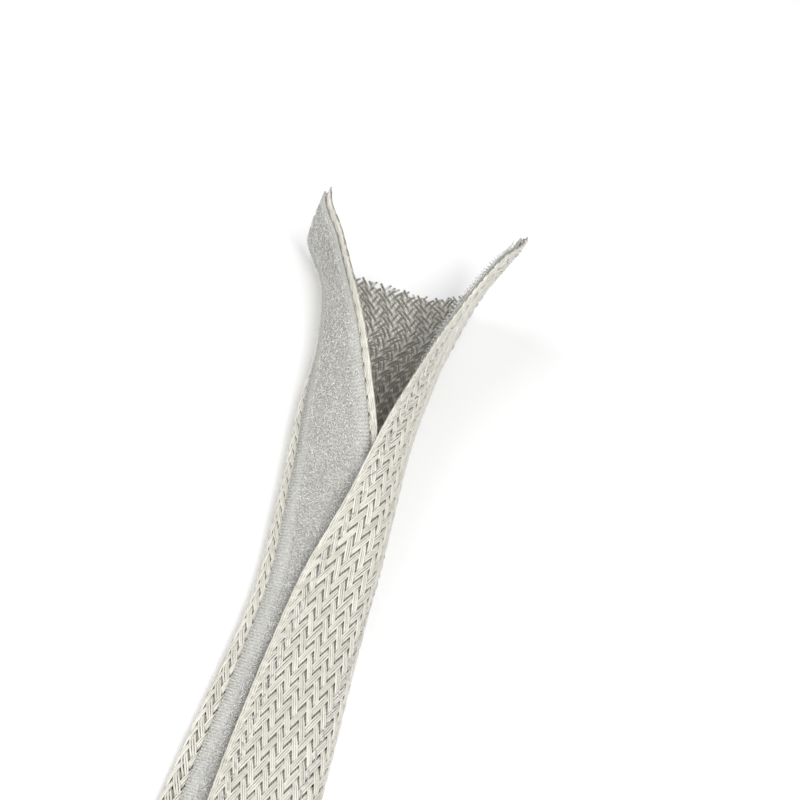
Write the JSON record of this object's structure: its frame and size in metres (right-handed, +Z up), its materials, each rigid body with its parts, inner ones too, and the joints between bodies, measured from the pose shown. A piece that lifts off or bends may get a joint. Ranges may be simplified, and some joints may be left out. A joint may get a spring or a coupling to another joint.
{
  "type": "hook and loop cable sleeve",
  "caption": "Flat braided monofilament sheet rolled into a soft tube, with a loop tape and a hook tape along its edges, one end flared open.",
  "frame": {"origin": "on the floor, under the middle of the whole sleeve", "axes": "+Y along the sleeve from its closed end to its open end, +Z up from the floor, +X to the right seen from the closed end"},
  "size_m": [0.0578, 0.241, 0.0411],
  "materials": {
    "braid": "satin",
    "loop_pile": "matt",
    "hooks": "satin"
  },
  "bodies": {
    "root": {"braided_sheet": "braid", "loop_tape": "loop_pile", "hook_tape": "hooks"}
  },
  "joints": []
}
